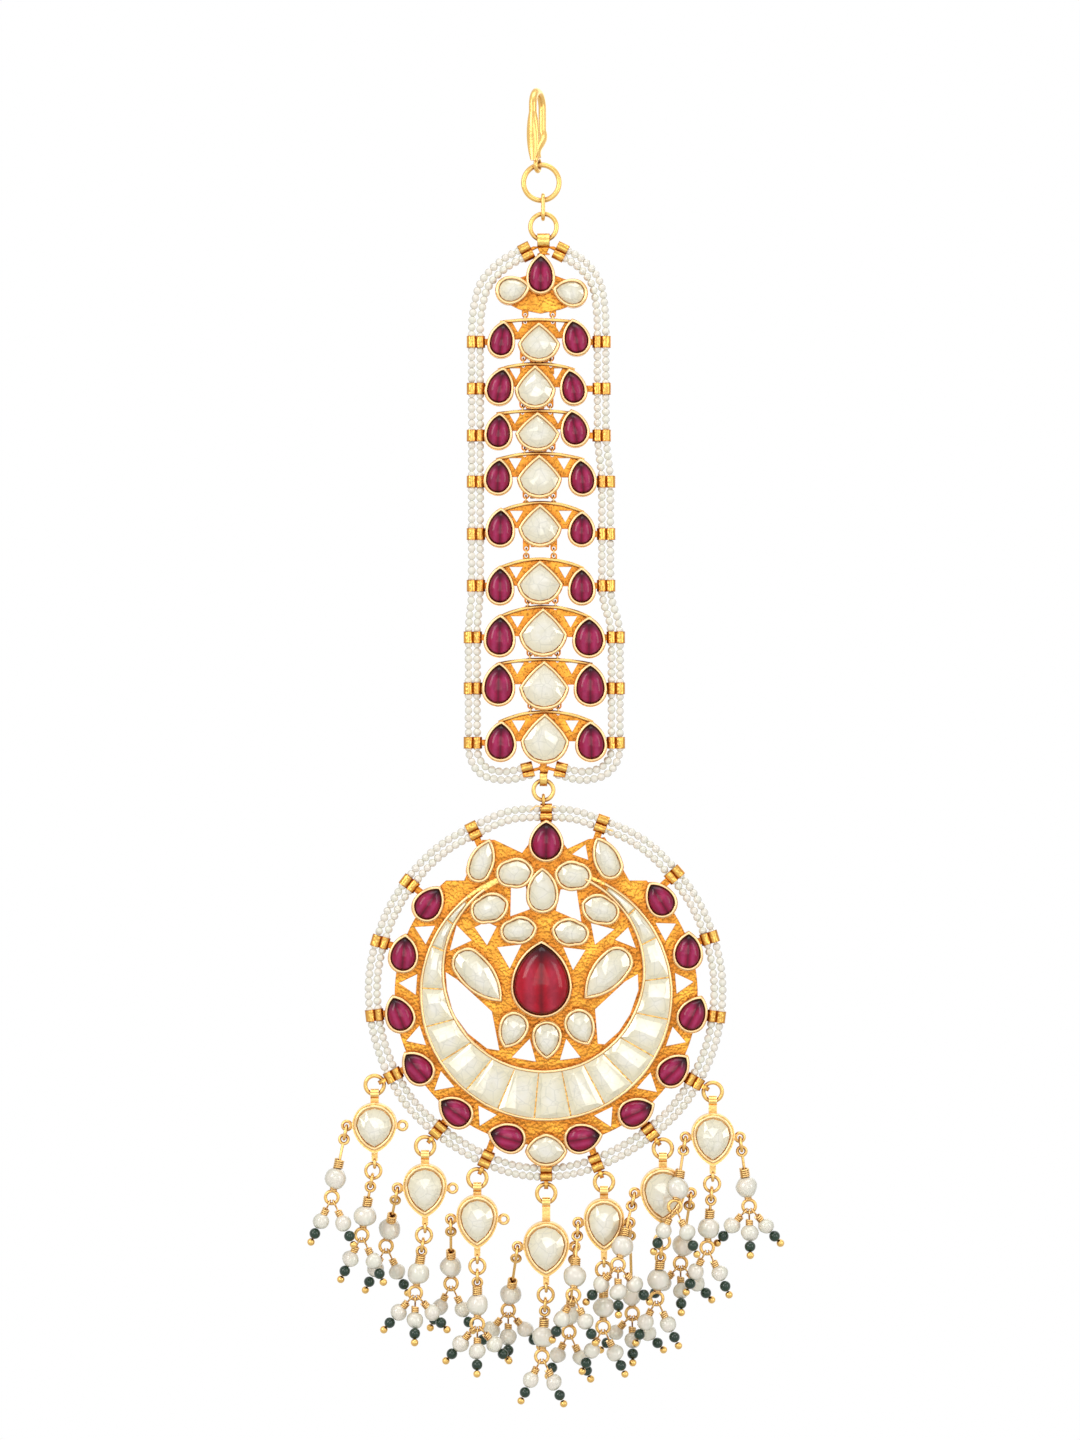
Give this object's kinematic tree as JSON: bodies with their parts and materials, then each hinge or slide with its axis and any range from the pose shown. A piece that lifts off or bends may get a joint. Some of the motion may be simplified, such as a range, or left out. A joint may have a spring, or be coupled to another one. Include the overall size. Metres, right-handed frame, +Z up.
{
  "type": "maang tikka",
  "caption": "Bridal hair ornament: a hook, a strap of pierced gold bars with rubies and uncut stones, a round pierced pendant with a crescent, pear drops and a pearl fringe.",
  "frame": {"origin": "where the hook bears on the hair or on the pin that holds it, at the inside of its bend", "axes": "+Z up along the hanging ornament, -Y out of its front, +X to the right seen from the front"},
  "size_m": [0.0693, 0.0148, 0.1916],
  "materials": {
    "gold": "polished yellow gold with warm recesses",
    "ruby": "domed crimson stones, foil backed",
    "polki": "flat-cut pale stones, foil backed",
    "pearl": "cream pearl lustre, with dark green beads and gold balls on the pins"
  },
  "bodies": {
    "strap": {"hook": "gold", "hook_link": "gold", "hook_ring": "gold", "pendant_ring": "gold", "strap_bar_1": "gold", "strap_bar_2": "gold", "strap_bar_3": "gold", "strap_bar_4": "gold", "strap_bar_5": "gold", "strap_bar_6": "gold", "strap_bar_7": "gold", "strap_bar_8": "gold", "strap_bar_9": "gold", "strap_centre_stones": "polki", "strap_head": "gold", "strap_head_ruby": "ruby", "strap_head_stones": "polki", "strap_links": "gold", "strap_pearls_left": "pearl", "strap_pearls_right": "pearl", "strap_ring": "gold", "strap_rubies_left": "ruby", "strap_rubies_right": "ruby"},
    "pendant": {"centre_ruby": "ruby", "crescent_stones": "polki", "crown_ruby": "ruby", "drop_cup_1": "gold", "drop_cup_2": "gold", "drop_cup_3": "gold", "drop_cup_4": "gold", "drop_cup_5": "gold", "drop_cup_6": "gold", "drop_cup_7": "gold", "drop_rings": "gold", "drop_stones": "polki", "fringe_eye_pins": "gold", "fringe_pearls": "pearl", "fringe_pins_left": "pearl", "fringe_pins_middle": "pearl", "fringe_pins_right": "pearl", "fringe_rings": "gold", "lattice_stones": "polki", "medallion_frame": "gold", "medallion_pearls_inner": "pearl", "medallion_pearls_outer": "pearl", "rim_dome_stone": "polki", "rim_rubies_left": "ruby", "rim_rubies_right": "ruby"}
  },
  "joints": [
    {"name": "pendant_swing", "type": "hinge", "parent": "strap", "child": "pendant", "pos_m": [0.0005, 0, -0.10224], "axis": [1, 0, 0], "range_deg": [-25, 25]}
  ]
}
